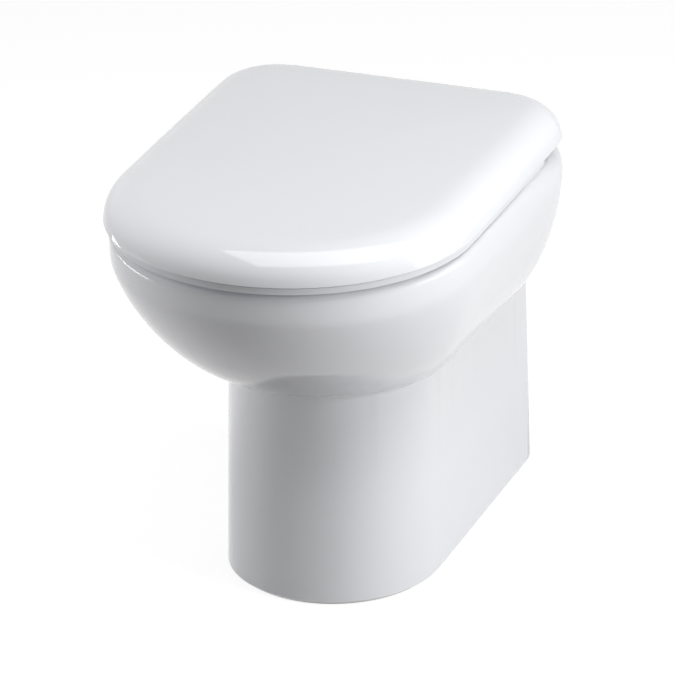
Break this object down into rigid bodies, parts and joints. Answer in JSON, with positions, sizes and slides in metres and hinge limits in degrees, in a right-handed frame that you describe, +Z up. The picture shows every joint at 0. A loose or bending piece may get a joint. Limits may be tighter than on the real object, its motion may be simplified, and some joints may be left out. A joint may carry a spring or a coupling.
{
  "type": "back to wall toilet",
  "caption": "Back to wall toilet: one-piece ceramic pan with a D-shaped rim over a narrower pedestal, a hinged seat ring and a hinged wrap-over lid.",
  "frame": {"origin": "where the middle of the pan's rear face meets the floor", "axes": "+Z up, +Y out of the pan's rear face into the wall, so the front of the bowl points along -Y, and +X to the right of a person who stands before the toilet and faces it"},
  "size_m": [0.36, 0.525, 0.4366],
  "materials": {
    "china": "glazed, glossy, opaque",
    "seat_plastic": "high gloss",
    "pillar_chrome": "polished",
    "pin_steel": "drawn",
    "nylon": "matt",
    "rubber": "matt",
    "buffer_rubber": "matt"
  },
  "bodies": {
    "pan": {"pan": "china", "hinge_pillar_left": "pillar_chrome", "hinge_pillar_right": "pillar_chrome", "hinge_pin_left": "pin_steel", "hinge_pin_right": "pin_steel", "pin_cap_left": "pin_steel", "pin_cap_right": "pin_steel", "pillar_gaskets": "rubber", "fixing_studs": "pin_steel", "rubber_cones": "rubber", "clamp_washers": "nylon", "wing_nuts": "nylon"},
    "seat": {"seat": "seat_plastic", "seat_bush_left": "nylon", "seat_bush_right": "nylon", "seat_buffers": "buffer_rubber"},
    "lid": {"lid": "seat_plastic", "lid_bush_left": "nylon", "lid_bush_right": "nylon", "lid_buffers": "buffer_rubber"}
  },
  "joints": [
    {"name": "seat_hinge", "type": "hinge", "parent": "pan", "child": "seat", "pos_m": [0, -0.061, 0.414], "axis": [-1, 0, 0], "range_deg": [0, 92]},
    {"name": "lid_hinge", "type": "hinge", "parent": "seat", "child": "lid", "pos_m": [0, -0.061, 0.414], "axis": [-1, 0, 0], "range_deg": [0, 95]}
  ]
}
